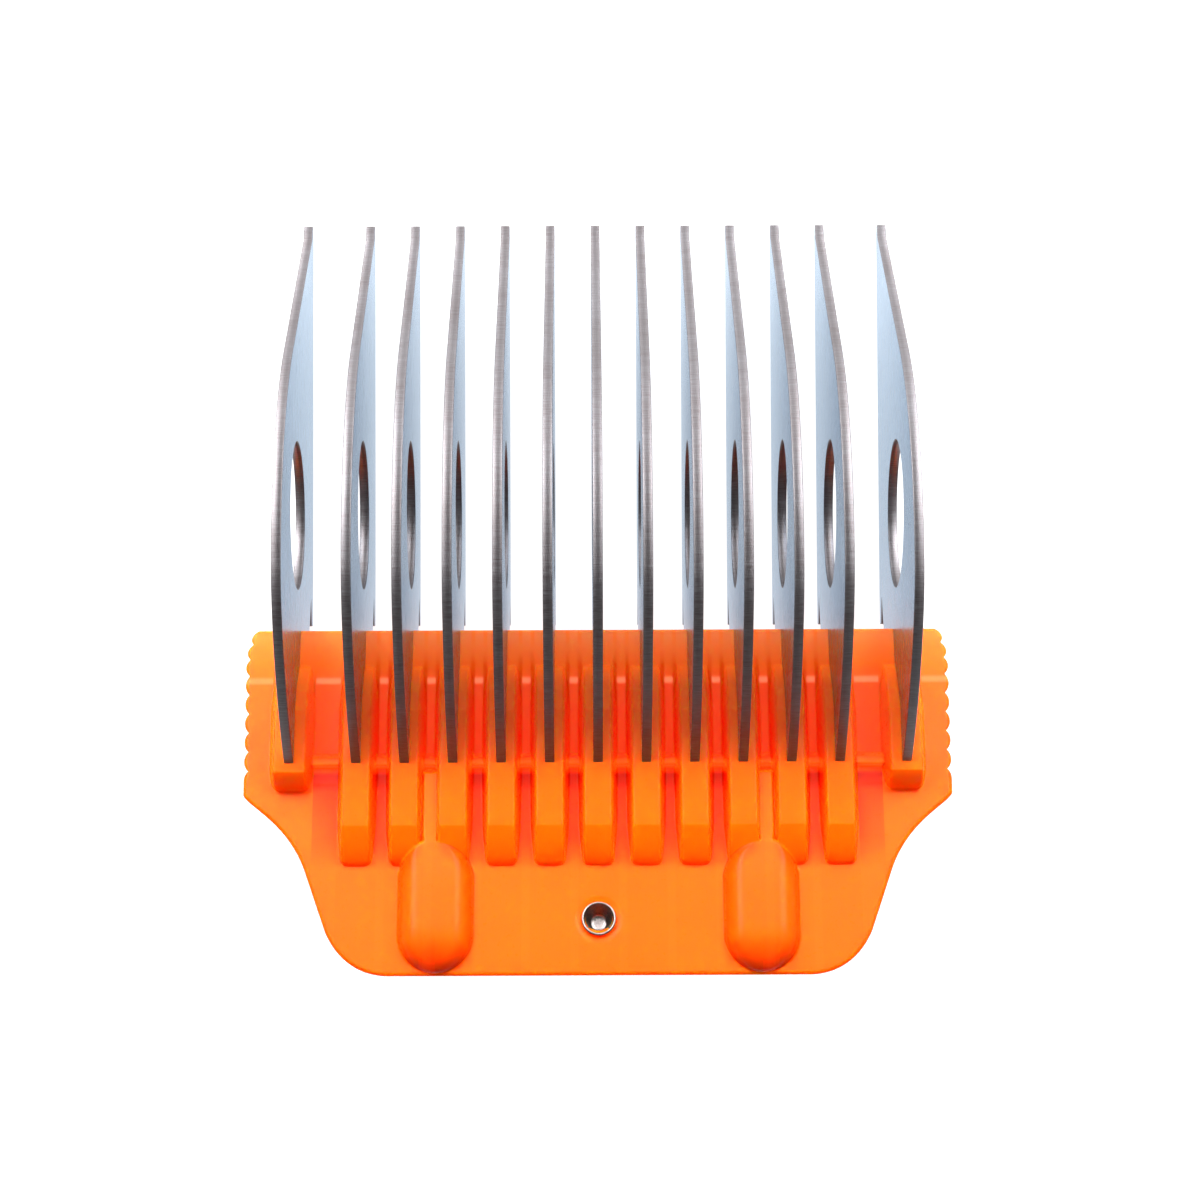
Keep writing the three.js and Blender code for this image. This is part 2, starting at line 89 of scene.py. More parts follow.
# The root inside the body, from behind the heel to the slot, as (d, z).
TOOTH_ROOT = [(HEEL_D + 0.9, HEEL_Z - 1.5), (HEEL_D - 1, HEEL_Z - 3.5), (47.5, 14.0), (44.5, 10.6),
              (42.8, 7.4), (42.8, 4.7), (PRONG_D, 3.5)]
STAMPED_EDGE = 0.06

# The body's section along its length: the front's lip, crease and plane, the back's seat and its hollows.
LIP_D, LIP_Z = 41.6, 7.2
CREASE_D, CREASE_Z = 46.5, 13.1
FLOOR_D, FLOOR_Z, FLOOR_SLOPE = 54.0, 16.6, 0.31
FLOOR_ANGLE = math.atan(FLOOR_SLOPE)
SEAT_Z, SEAT_SLOPE = 3.3, 0.41
CREASE_FILL, FLOOR_FILL = 0.45, 0.2
WALL = 2.7
SKIRT = 2.2
POCKET_D, POCKET_RUN = 58.0, 0.3
NOTCH_HALF, NOTCH_LENGTH, NOTCH_RUN = 6.6, 1.2, 0.25
CORE_START_D, CORE_END_D, CORE_HALF, CORE_RUN = 45.4, 56.0, 0.75, 0.2
CORE_DEPTH, CORE_EXTRA_DEPTH = 3.0, 2.0
THINNEST = 0.35
EDGE_RADIUS, SMALL_EDGE_RADIUS = 0.4, 0.3

# The body's outline, with the scallops of its grips.
GRIP_HALF = 33.8
SCALLOP_PITCHES = [1.347, 1.474, 1.602] + [1.82] * 5
LAST_SCALLOP, SCALLOP_DEPTH, SCALLOP_POWER = 0.9, 0.45, 0.75
LIP_CORNER, LIP_CORNER_LENGTH = 0.75, 3.4
# Points of the outline and the handles of the curves between them, as (half width, d).
GRIP_END, GRIP_END_HANDLE = (33.6, 57.4), (33.1, 58.5)
WAIST_HANDLE, WAIST = (29.25, 60.0), (27.55, 64.6)
TAIL, TAIL_HANDLE = (25.56, 70.0), (24.26, 72.9)
BOTTOM_HANDLE_HALF, BOTTOM_HALF = 21.9, 19.6

# The ribs around the tooth roots, with the ridge and the trough between them.
RIB_HALF, OUTER_RIB_HALF = 1.36, 1.55
RIB_EDGE = 0.26
RIB_DRAFT = 0.15
RIB_FILLET, RIB_FILLET_FULL_RISE, RIB_FILLET_STOP = 0.14, 2.0, 0.3
RIB_WALL = 0.52
RIB_CORNER = 0.6
RIB_END_D, RIB_FOOT_D = 60.2, 64.0
RIB_END_SLANT, RIB_PLUNGE = 0.5, 3.0
OUTER_RIB_END_D, OUTER_RIB_FOOT_D = 55.2, 57.0
# The top of a rib from the lip over its crest to its foot, as (d, z).
RIB_TOP = [(LIP_D, LIP_Z), (43.0, 9.12), (44.3, 12.1), (45.5, 14.6), (47.5, 17.15), (49.4, 18.6),
           (FLOOR_D, 19.82), (RIB_END_D, 21.2), (RIB_FOOT_D + 0.5, 22.05)]
RIDGE_START_D, RIDGE_RISE_RUN, RIDGE_FALL_D, RIDGE_FALL_RUN = 53.4, 0.55, 54.45, 0.6
RIDGE_HEIGHT = 0.9
TROUGH_START_D, TROUGH_FALL_RUN, TROUGH_RISE_D, TROUGH_RISE_RUN = 54.65, 0.4, 55.7, 0.9
TROUGH_DEPTH = 0.7

# The screw blisters and their stems.
BLISTER_X = 15.2
BLISTER_HALF, BLISTER_HEIGHT = 3.5, 2.1
BLISTER_TOP_D, BLISTER_SHOULDER_D, BLISTER_SWELL = 61.7, 65.4, 1.2
BLISTER_ROUND_D, BLISTER_FLAT_END_D, BLISTER_END_D = 70.2, 69.2, 73.85
BLISTER_SIDE, BLISTER_SIDE_POWER, BLISTER_END_POWER, BLISTER_ROOT_POWER = 2.1, 2.6, 2.2, 0.6
BLISTER_SINK, BLISTER_FILL = 0.03, 0.12
HOLLOW_INSET, HOLLOW_SHARE = 1.3, 0.9
STEM_X, STEM_HALF, STEM_HEIGHT, STEM_SIDE = 15.75, 0.86, 1.9, 0.3
STEM_START_D, STEM_RISE = 54.9, 0.45
STEM_STEP, STEM_STEP_HALF, STEM_STEP_RUN = 1.4, 2.1, 0.3
STEM_STEP_RISE, STEM_STEP_END_D, STEM_STEP_FALL = 0.4, 61.2, 1.5

# The rivet and its seat.
RIVET_D = 69.0
RIVET_RIM, RIVET_RIM_HEIGHT = 1.62, 0.42
RIVET_CUP_TOP, RIVET_CUP_LOW, RIVET_CUP_DEPTH = 1.36, 0.8, 1.55
RIVET_HEAD, RIVET_HEAD_HEIGHT, RIVET_PLAY = 2.55, 0.68, 0.12
RIVET_SHANK = 1.25
DISH_HALF, DISH_DEPTH, DISH_RUN = 1.5, 0.12, 0.9
RIVET_SEAT_HALF, RIVET_SEAT_DEPTH, RIVET_SEAT_RUN = 1.12, 2.1, 0.14

# The latch spring: a foot under the rivet, a bend and an arm that ends in a hook.
SPRING_WIDTH, SPRING_THICKNESS, SPRING_CORNER, SPRING_PLAY = 11.0, 0.5, 0.9, 0.04
BEND_D, BEND_GAP = 60.6, 2.0
FOOT_LENGTH, ARM_LENGTH = 11.2, 11.8
STRAIGHT_START, ARM_CORNER = 0.6, 0.7
HOOK_DROP, HOOK_CATCH, HOOK_LIP = 4.9, 1.4, 1.7
FOOT_HOLE_RADIUS, ACCESS_RADIUS = 1.4, 2.0


def y_at(d):
    return TIP_Y - d


def plane_z(d):
    """The flat lower part of the body's front, continued both ways."""
    return FLOOR_Z + FLOOR_SLOPE * (d - FLOOR_D)


def seat_z(d):
    return SEAT_Z + SEAT_SLOPE * (d - LIP_D)


def bezier(p0, p1, p2, p3, steps):
    t = np.linspace(0, 1, steps)[:, None]
    p0, p1, p2, p3 = (np.array(p, float) for p in (p0, p1, p2, p3))
    return (1 - t) ** 3 * p0 + 3 * (1 - t) ** 2 * t * p1 + 3 * (1 - t) * t**2 * p2 + t**3 * p3


def smooth_step(t):
    t = np.clip(t, 0, 1)
    return t * t * (3 - 2 * t)


def rise_from(value, start, run):
    """0 up to start, 1 from start + run on, with a smooth rise between them."""
    return smooth_step((value - start) / run)


def quarter_ellipse(t):
    """Falls from 1 at t = 0 to 0 at t = 1, level at first and upright at the end."""
    t = np.clip(t, 0, 1)
    return np.sqrt(1 - t * t)


def round_drop(into, radius):
    """How far a rounded edge drops at a distance in front of the start of its rounding."""
    into = np.clip(into, 0, radius)
    return radius - np.sqrt(radius**2 - into**2)


def smooth_max(a, b, k):
    """The larger of two heights, with their crease filled over a height of k."""
    h = np.clip(0.5 + 0.5 * (a - b) / k, 0, 1)
    return b + (a - b) * h + k * h * (1 - h)


def smooth_min(a, b, k):
    return -smooth_max(-a, -b, k)


def mesh_object(name, vertices_mm, faces, smooth=True):
    """A mesh object from vertices in millimetres."""
    mesh = bpy.data.meshes.new(name)
    mesh.from_pydata((np.asarray(vertices_mm, float) * MM).tolist(), [], faces)
    mesh.validate()
    mesh.update()
    if smooth:
        mesh.polygons.foreach_set("use_smooth", [True] * len(mesh.polygons))
    obj = bpy.data.objects.new(name, mesh)
    bpy.context.scene.collection.objects.link(obj)
    return obj


def clean_up(mesh, distance):
    """Merges the vertices that are closer than a distance in metres and turns the faces outwards."""
    shape = bmesh.new()
    shape.from_mesh(mesh)
    bmesh.ops.remove_doubles(shape, verts=shape.verts, dist=distance)
    bmesh.ops.recalc_face_normals(shape, faces=shape.faces)
    shape.to_mesh(mesh)
    shape.free()


# ---- Materials ----


class Nodes:
    """A short way to write a material's node graph."""

    def __init__(self, name):
        self.material = bpy.data.materials.new(name)
        self.material.use_nodes = True
        self.tree = self.material.node_tree
        self.shader = self.tree.nodes["Principled BSDF"]
        self.place = self.tree.nodes.new("ShaderNodeTexCoord").outputs["Object"]

    def link(self, source, target):
        self.tree.links.new(source, target)

    def noise(self, scale, detail=4.0, roughness=0.55, stretch=(1, 1, 1), offset=(0, 0, 0)):
        """Noise with its scale given in cycles per millimetre along x, y and z."""
        mapping = self.tree.nodes.new("ShaderNodeMapping")
        mapping.inputs["Scale"].default_value = [scale * s / MM for s in stretch]
        mapping.inputs["Location"].default_value = offset
        self.link(self.place, mapping.inputs["Vector"])
        node = self.tree.nodes.new("ShaderNodeTexNoise")
        node.inputs["Scale"].default_value = 1.0
        node.inputs["Detail"].default_value = detail
        node.inputs["Roughness"].default_value = roughness
        self.link(mapping.outputs["Vector"], node.inputs["Vector"])
        return node.outputs["Fac"]

    def ramp(self, source, stops):
        node = self.tree.nodes.new("ShaderNodeValToRGB")
        elements = node.color_ramp.elements
        while len(elements) < len(stops):
            elements.new(0.5)
        for element, (position, colour) in zip(elements, stops):
            element.position = position
            element.color = (*colour, 1)
        self.link(source, node.inputs["Fac"])
        return node.outputs["Color"]

    def spread(self, source, low, high, from_low=0.0, from_high=1.0):
        node = self.tree.nodes.new("ShaderNodeMapRange")
        node.inputs["From Min"].default_value = from_low
        node.inputs["From Max"].default_value = from_high
        node.inputs["To Min"].default_value = low
        node.inputs["To Max"].default_value = high
        self.link(source, node.inputs["Value"])
        return node.outputs["Result"]

    def maths(self, operation, a, b=None):
        node = self.tree.nodes.new("ShaderNodeMath")
        node.operation = operation
        for socket, value in zip(node.inputs, (a, b)):
            if value is None:
                continue
            if isinstance(value, (int, float)):
                socket.default_value = value
            else:
                self.link(value, socket)
        return node.outputs["Value"]

    def mix(self, factor, a, b, blend="MIX"):
        node = self.tree.nodes.new("ShaderNodeMix")
        node.data_type = "RGBA"
        node.blend_type = blend
        if isinstance(factor, (int, float)):
            node.inputs["Factor"].default_value = factor
        else:
            self.link(factor, node.inputs["Factor"])
        for socket, value in ((node.inputs[6], a), (node.inputs[7], b)):
            if isinstance(value, (tuple, list)):
                socket.default_value = (*value, 1)
            else:
                self.link(value, socket)
        return node.outputs[2]

    def bump(self, height, distance_mm, strength=1.0, after=None):
        node = self.tree.nodes.new("ShaderNodeBump")
        node.inputs["Strength"].default_value = strength
        node.inputs["Distance"].default_value = distance_mm * MM
        self.link(height, node.inputs["Height"])
        if after is not None:
            self.link(after, node.inputs["Normal"])
        self.link(node.outputs["Normal"], self.shader.inputs["Normal"])
        return node.outputs["Normal"]

    def axis(self, name):
        node = self.tree.nodes.new("ShaderNodeSeparateXYZ")
        self.link(self.place, node.inputs["Vector"])
        return node.outputs[name]


# Colours by the distance d from the tips, each list running from the tail to the lip. The glows are painted
# light:
# light through the thin plastic and between the teeth, on the ridge's top, and a painted highlight along the
# crease.
DARK = (0.0, 0.0, 0.0)
PLAIN = (1.0, 1.0, 1.0)
# The plastic's colour, lighter towards the lip: partly its own colour, partly painted light passing through
# the thinner plastic there.
PLASTIC_COLOURS_AND_THIN_LIGHT = [(74.1, (0.98, 0.114, 0.0005)), (66.0, (0.98, 0.12, 0.0006)),
                   (61.0, (0.98, 0.136, 0.0007)), (48.0, (0.98, 0.155, 0.001)),
                   (45.5, (0.98, 0.165, 0.0015)), (42.0, (0.98, 0.2, 0.002))]
# Painted light: the glow of the plastic, its rib walls and its floor between the ribs, standing for light
# through the thin plastic and between the teeth.
PLASTIC_PAINTED_LIGHT = [(74.1, DARK), (66.0, (0.01, 0.0, 0.0)), (62.0, (0.10, 0.001, 0.0)),
                (55.0, (0.06, 0.002, 0.0)), (53.0, (0.16, 0.014, 0.006)), (47.0, (0.20, 0.02, 0.006)),
                (45.0, (0.50, 0.058, 0.008)), (43.4, (0.50, 0.08, 0.022)), (42.2, (0.44, 0.11, 0.045)),
                (41.6, (0.42, 0.11, 0.045))]
WALL_PAINTED_LIGHT = [(57.0, (0.12, 0.001, 0.0)), (54.0, (0.16, 0.0, 0.0)), (47.0, (0.13, 0.0, 0.0)),
             (45.0, (0.36, 0.02, 0.0)), (43.4, (0.50, 0.08, 0.022))]
# Painted light on the ridge's lit top, and a painted highlight along the crease.
RIDGE_PAINTED_LIGHT = [(55.1, DARK), (54.8, (0.38, 0.06, 0.004)), (54.2, (0.38, 0.06, 0.004)), (54.0, DARK)]
FLOOR_PAINTED_LIGHT = [(54.4, (0.17, 0.008, 0.001)), (46.5, (0.22, 0.010, 0.006)), (45.0, DARK)]
CREASE_PAINTED_HIGHLIGHT = [(46.9, DARK), (46.65, (0.30, 0.15, 0.085)), (46.35, (0.30, 0.15, 0.085)), (46.1, DARK)]
# Painted shade in the gaps between the ribs, deepest in the shadow below the ridge.
GAP_PAINTED_SHADE = [(64.5, PLAIN), (61.5, (1.0, 0.60, 0.8)), (57.1, (1.0, 0.46, 0.8)), (56.6, (0.70, 0.22, 0.15)),
            (55.5, (0.64, 0.07, 0.05)), (55.2, PLAIN)]
STREAK = (1.0, 0.90, 0.85)
# Painted shade on the blisters' flanks, shoulders and rounded ends.
BLISTER_PAINTED_SHADE = (0.66, 0.026, 0.0003)
TOOTH_PITCH = TOOTH_X[2] - TOOTH_X[1]
FRONT_DEPTH = 0.6
GAP_END_D = 57.0
GAP_MARGIN = 0.15
# Where the painted shade on the blisters starts and is full, on their flanks, shoulders and rounded ends.
FLANK_START, FLANK_FULL, FLANK_SHARE, SHOULDER_SHARE, SHOULDER_RUN = 1.9, 3.3, 0.45, 0.6, 1.5
ROUND_SHADE_START, ROUND_SHADE_FULL = -0.4, 3.4


def by_depth(n, values):
    """A colour that changes along the body, from a list of (d, colour) running towards the lip."""
    along = n.spread(n.axis("Y"), 0.0, 1.0, y_at(LENGTH) * MM, y_at(LIP_D) * MM)
    return n.ramp(along, [((LENGTH - d) / (LENGTH - LIP_D), value) for d, value in values])


def front_share(n):
    """1 on the body's front, 0 on its back and on the rim of the tail."""
    level = n.maths("ADD", n.axis("Z"), n.maths("MULTIPLY", n.axis("Y"), FLOOR_SLOPE))
    near_plane = n.maths("GREATER_THAN", level, (plane_z(TIP_Y) - FRONT_DEPTH) * MM)
    return n.maths("MAXIMUM", near_plane, n.maths("GREATER_THAN", n.axis("Y"), y_at(GAP_END_D) * MM))


def between_ribs(n, across, on_front, reach):
    """1 on the front between the ribs, from the given reach off their middles, and 0 elsewhere."""
    wave = n.maths("COSINE", n.maths("MULTIPLY", across, 2 * math.pi / (TOOTH_PITCH * MM)))
    edge = math.cos(2 * math.pi * reach / TOOTH_PITCH)
    softness = 0.06
    gaps = n.maths("MULTIPLY", n.spread(wave, 1.0, 0.0, edge - softness, edge + softness),
                   n.maths("LESS_THAN", across, (TOOTH_X[-2] + RIB_HALF) * MM))
    outer_gap_start = TOOTH_X[-2] + RIB_HALF + RIB_WALL
    outer_gap_end = TOOTH_X[-1] - OUTER_RIB_HALF - RIB_WALL
    outer_gap = n.maths("MULTIPLY", n.maths("GREATER_THAN", across, outer_gap_start * MM),
                        n.maths("LESS_THAN", across, outer_gap_end * MM))
    return n.maths("MULTIPLY", n.maths("MAXIMUM", gaps, outer_gap), on_front)


def blister_shade(n, across, off_stem, on_front):
    """How far the blisters' flanks, shoulders and rounded ends take the painted shade."""
    off_middle = n.maths("ABSOLUTE", n.maths("SUBTRACT", across, BLISTER_X * MM))
    past_round = n.maths("MAXIMUM", n.maths("SUBTRACT", y_at(BLISTER_ROUND_D) * MM, n.axis("Y")), 0.0)
    past_shoulder = n.maths("MAXIMUM", n.maths("SUBTRACT", n.axis("Y"), y_at(BLISTER_SHOULDER_D) * MM), 0.0)
    past_either = n.maths("MAXIMUM", past_round, past_shoulder)
    radius = n.maths("SQRT", n.maths("ADD", n.maths("MULTIPLY", off_middle, off_middle),
                                     n.maths("MULTIPLY", past_either, past_either)))
    on_blister = n.maths("MULTIPLY", n.maths("LESS_THAN", radius, 1.03 * BLISTER_HALF * MM), on_front)
    flank = n.maths("MULTIPLY", n.spread(radius, 0.0, 1.0, FLANK_START * MM, FLANK_FULL * MM), on_blister)
    beside_stem = n.spread(off_stem, 0.0, 1.0, 0.5 * STEM_HALF * MM, 1.6 * STEM_HALF * MM)
    strength = n.spread(past_shoulder, FLANK_SHARE, SHOULDER_SHARE, 0.0, SHOULDER_RUN * MM)
    rounding = n.spread(past_round, 0.0, 1.0, ROUND_SHADE_START * MM, ROUND_SHADE_FULL * MM)
    rounded_end = n.maths("MULTIPLY", rounding, on_blister)
    flank_share = n.maths("MULTIPLY", n.maths("MULTIPLY", flank, beside_stem), strength)
    return n.maths("MAXIMUM", flank_share, rounded_end)


def painted_plastic_light(n, gap_share, floor_share, on_grip):
    """Painted light emitted as a glow: light through the thin plastic and between the teeth on the walls and
    floor, on the ridge's top, and a highlight along the crease.
    """
    wall_share = n.maths("SUBTRACT", gap_share, floor_share)
    glow = n.mix(wall_share, by_depth(n, PLASTIC_PAINTED_LIGHT), by_depth(n, WALL_PAINTED_LIGHT))
    crease_share = n.maths("MAXIMUM", floor_share, on_grip)
    for share, values in ((floor_share, FLOOR_PAINTED_LIGHT), (gap_share, RIDGE_PAINTED_LIGHT), (crease_share, CREASE_PAINTED_HIGHLIGHT)):
        glow = n.mix(1.0, glow, n.mix(share, DARK, by_depth(n, values)), "ADD")
    return glow


def moulded_plastic():
    """Satin orange plastic with faint flow marks and a fine moulded grain; its front is painted brighter
    where the plastic is thin, its glow is painted light, and the gaps and blisters carry painted shade.
    """
    n = Nodes("orange_plastic")
    across = n.maths("ABSOLUTE", n.axis("X"))
    off_stem = n.maths("ABSOLUTE", n.maths("SUBTRACT", across, STEM_X * MM))
    on_front = front_share(n)
    on_grip = n.maths("GREATER_THAN", across, (TOOTH_X[-1] + OUTER_RIB_HALF + RIB_WALL) * MM)
    floor_share = between_ribs(n, across, on_front, RIB_HALF + RIB_WALL)
    gap_share = between_ribs(n, across, on_front, RIB_HALF + GAP_MARGIN)
    streaks = n.spread(n.noise(0.06, 3.0, 0.5, (1.0, 0.35, 0.6)), 0.0, 1.0, 0.35, 0.7)
    colour = n.mix(1.0, by_depth(n, PLASTIC_COLOURS_AND_THIN_LIGHT), n.mix(streaks, PLAIN, STREAK), "MULTIPLY")
    # Painted shade in the gaps between the ribs, away from the stems.
    painted_shade_share = n.maths("MULTIPLY", gap_share, n.maths("GREATER_THAN", off_stem, 2 * STEM_HALF * MM))
    colour = n.mix(painted_shade_share, colour, n.mix(1.0, colour, by_depth(n, GAP_PAINTED_SHADE), "MULTIPLY"))
    # Painted shade on the blisters' flanks and rounded ends.
    colour = n.mix(blister_shade(n, across, off_stem, on_front), colour, BLISTER_PAINTED_SHADE)
    n.link(colour, n.shader.inputs["Base Color"])
    # Painted light, emitted as a glow.
    n.link(painted_plastic_light(n, gap_share, floor_share, on_grip), n.shader.inputs["Emission Color"])
    n.shader.inputs["Emission Strength"].default_value = 1.0
    n.shader.inputs["Specular IOR Level"].default_value = 0.08
    n.shader.inputs["Subsurface Weight"].default_value = 1.0
    n.shader.inputs["Subsurface Radius"].default_value = (1.0, 0.12, 0.03)
    n.shader.inputs["Subsurface Scale"].default_value = 1.3 * MM
    n.shader.inputs["IOR"].default_value = 1.46
    grain = n.noise(3.2, 3.0, 0.6)
    n.link(n.spread(grain, 0.26, 0.34, 0.3, 0.7), n.shader.inputs["Roughness"])
    fine = n.bump(grain, 0.006, 0.5)
    n.bump(n.noise(0.35, 2.0, 0.5), 0.06, 0.35, after=fine)
    return n.material


def rolled_steel(name, stretch, bright, dark, roughness, tint=(1, 1, 1), drawn=0.0):
    """Steel with a fine grain, stretched along x, y and z, and drawn along y where drawn is over 0."""
    n = Nodes(name)
    grain = n.noise(6.0, 5.0, 0.6, stretch)
    cloud = n.noise(0.12, 3.0, 0.55)
    tone = n.maths("ADD", n.maths("MULTIPLY", grain, 0.7), n.maths("MULTIPLY", cloud, 0.3))
    n.link(n.ramp(tone, [(0.3, dark), (0.7, bright)]), n.shader.inputs["Base Color"])
    n.shader.inputs["Metallic"].default_value = 1.0
    n.shader.inputs["Specular Tint"].default_value = (*tint, 1)
    if drawn:
        n.shader.inputs["Anisotropic"].default_value = drawn
        along = n.tree.nodes.new("ShaderNodeCombineXYZ")
        along.inputs["Y"].default_value = 1.0
        n.link(along.outputs["Vector"], n.shader.inputs["Tangent"])
    n.link(n.spread(grain, roughness[0], roughness[1], 0.3, 0.7), n.shader.inputs["Roughness"])
    n.bump(grain, 0.012, 0.6)
    return n.material


FACE_STEEL = rolled_steel("tooth_face_steel", stretch=(0.4, 0.10, 1.6), bright=(0.66, 0.70, 0.74),
                          dark=(0.58, 0.62, 0.67), roughness=(0.20, 0.32), tint=(0.55, 0.66, 0.78))
EDGE_STEEL = rolled_steel("tooth_edge_steel", stretch=(0.12, 1.8, 1.8), bright=(0.208, 0.203, 0.218),
                          dark=(0.106, 0.087, 0.086), roughness=(0.28, 0.40), drawn=0.9)
SPRING_STEEL = rolled_steel("spring_steel", stretch=(0.15, 1.4, 1.4), bright=(0.74, 0.75, 0.77),
                            dark=(0.58, 0.59, 0.61), roughness=(0.20, 0.34))
RIVET_STEEL = rolled_steel("rivet_steel", stretch=(1.0, 1.0, 1.0), bright=(0.34, 0.30, 0.29),
                           dark=(0.10, 0.085, 0.08), roughness=(0.26, 0.42))
PLASTIC_MATERIAL = moulded_plastic()


# ---- Body ----


def half_width(d):
    """Half the body's width at d, without the scallops, from the outline's curves."""
    t = np.linspace(0, 1, 12)
    corner = np.stack([GRIP_HALF - LIP_CORNER * (1 - t) ** 2, LIP_D + LIP_CORNER_LENGTH * t], 1)
    waist = bezier(GRIP_END, GRIP_END_HANDLE, WAIST_HANDLE, WAIST, 120)
    tail = bezier(TAIL, TAIL_HANDLE, (BOTTOM_HANDLE_HALF, LENGTH), (BOTTOM_HALF, LENGTH), 160)
    curve = np.vstack([corner, waist, tail])
    return np.interp(d, curve[:, 1], curve[:, 0])


def scallops(d):
    """How far the grips' edge is cut in at d."""
    cut = np.zeros_like(d)
    start = LIP_D
    for pitch in SCALLOP_PITCHES:
        inside = (d >= start) & (d <= start + pitch)
        bulge = np.abs(np.sin(math.pi * (d - start) / pitch)) ** SCALLOP_POWER
        cut = np.where(inside, SCALLOP_DEPTH * (1 - bulge), cut)
        start += pitch
    last = (d > start) & (d < start + LAST_SCALLOP)
    bulge = np.abs(np.sin(math.pi / 2 * (d - start) / LAST_SCALLOP)) ** SCALLOP_POWER
    return np.where(last, SCALLOP_DEPTH * (1 - bulge), cut)


# The mesh columns run straight out to STRAIGHT_HALF, and those past it close in with the outline.
STRAIGHT_HALF = 18.9
RIB_ZONE_HALF, RIB_ZONE_TAIL_HALF = 24.9, 19.15
GRIP_ZONE_HALF = 31.9
NARROWING_START_D = RIB_FOOT_D + 0.2
WIDEST_COLUMN = 0.24
FINEST_ROW = 0.004


def row_places():
    """Distances d of the body's mesh rows, closer together where the shape turns.

    Each stop is a d and the distance between the rows there.
    """
    stops = [(LIP_D, 0.02), (LIP_D + 0.1, 0.05), (LIP_D + 0.45, 0.1),
             (CREASE_D - 0.8, 0.13), (CREASE_D, 0.09), (CREASE_D + 0.8, 0.13),
             (RIDGE_START_D + 0.15, 0.06), (RIDGE_FALL_D + 0.75, 0.08), (OUTER_RIB_FOOT_D + 0.2, 0.14),
             (RIB_FOOT_D - 0.6, 0.1), (RIB_FOOT_D - 0.15, 0.03), (RIB_FOOT_D + 0.35, 0.09),
             (BLISTER_END_D - 1.6, 0.12), (LENGTH - 1.0, 0.07), (LENGTH - 0.2, 0.03), (LENGTH - 0.04, 0.008)]
    rows = [LIP_D]
    while rows[-1] < LENGTH:
        step = np.interp(rows[-1], [s[0] for s in stops], [s[1] for s in stops])
        rows.append(rows[-1] + step)
    rows[-1] = LENGTH
    if rows[-1] - rows[-2] < FINEST_ROW:
        rows.pop(-2)
    return np.array(rows)


def is_outer(i):
    """Whether tooth i is one of the two set apart at the sides."""
    return i in (0, len(TOOTH_X) - 1)


def column_places():
    """Places of the body's mesh columns on the full-width part, matched to the ribs' walls."""
    near_wall = [-0.75, -0.5, -0.28, -0.17, -0.1, -0.045, 0, 0.06,
                 0.13, 0.2, 0.27, 0.34, 0.42, 0.5, 0.6, 0.72, 0.86]
    places = {0.0}
    for i, x in enumerate(TOOTH_X):
        half = OUTER_RIB_HALF if is_outer(i) else RIB_HALF
        for side in (-1, 1):
            places.update(round(x + side * (half + offset), 4) for offset in near_wall)
        places.add(round(x, 4))
    edge = [0, 0.015, 0.05, 0.11, 0.2, 0.3, 0.42, 0.6]
    for side in (-1, 1):
        places.update(round(side * (GRIP_HALF - offset), 4) for offset in edge)
    places = sorted(places)
    filled = []
    for a, b in zip(places, places[1:]):
        count = max(1, math.ceil((b - a) / WIDEST_COLUMN))
        filled += [a + (b - a) * i / count for i in range(count)]
    return np.array(filled + [places[-1]])


def body_grid():
    """The body's mesh grid: x and d at every row and column, following the outline."""
    d = row_places()
    base = column_places()
    ease = rise_from(d, NARROWING_START_D, LENGTH - NARROWING_START_D)
    inner = RIB_ZONE_HALF + (RIB_ZONE_TAIL_HALF - RIB_ZONE_HALF) * ease
    share = (GRIP_ZONE_HALF - RIB_ZONE_HALF) / (GRIP_HALF - RIB_ZONE_HALF)
    middle = inner + (half_width(d) - inner) * share
    edge = half_width(d) - scallops(d)
    targets = np.stack([np.zeros_like(d), np.full_like(d, STRAIGHT_HALF), inner, middle, edge])
    sources = [0, STRAIGHT_HALF, RIB_ZONE_HALF, GRIP_ZONE_HALF, GRIP_HALF]
    x = np.empty((len(d), len(base)))
    for i in range(len(d)):
        x[i] = np.sign(base) * np.interp(np.abs(base), sources, targets[:, i])
    return x, np.repeat(d[:, None], len(base), axis=1)


def outline_distance(x, d):
    """Distance of each grid point to the body's outline, worked out for some points at a time."""
    places = np.linspace(LIP_D, LENGTH, 900)
    places = np.sort(np.concatenate([places, np.linspace(LENGTH - 0.3, LENGTH, 60)]))
    side = np.stack([half_width(places) - 0.5 * scallops(places), places], 1)
    bottom = np.stack([np.linspace(BOTTOM_HALF, 0, 120), np.full(120, LENGTH)], 1)
    line = np.vstack([side, bottom])
    points = np.stack([np.abs(x).ravel(), d.ravel()], 1)
    nearest = np.empty(len(points))
    at_a_time = 20000
    for start in range(0, len(points), at_a_time):
        part = points[start:start + at_a_time]
        gap = (part[:, None, 0] - line[None, :, 0]) ** 2 + (part[:, None, 1] - line[None, :, 1]) ** 2
        nearest[start:start + at_a_time] = np.sqrt(gap.min(1))
    return nearest.reshape(x.shape)


def floor_front(d):
    """The front between the ribs: a steep lip, an easing middle and the long flat plane."""
    lip = LIP_Z + (CREASE_Z - LIP_Z) / (CREASE_D - LIP_D) * (d - LIP_D)
    middle = CREASE_Z + (FLOOR_Z - CREASE_Z) / (FLOOR_D - CREASE_D) * (d - CREASE_D)
    return smooth_min(smooth_min(lip, middle, CREASE_FILL), plane_z(d), FLOOR_FILL)


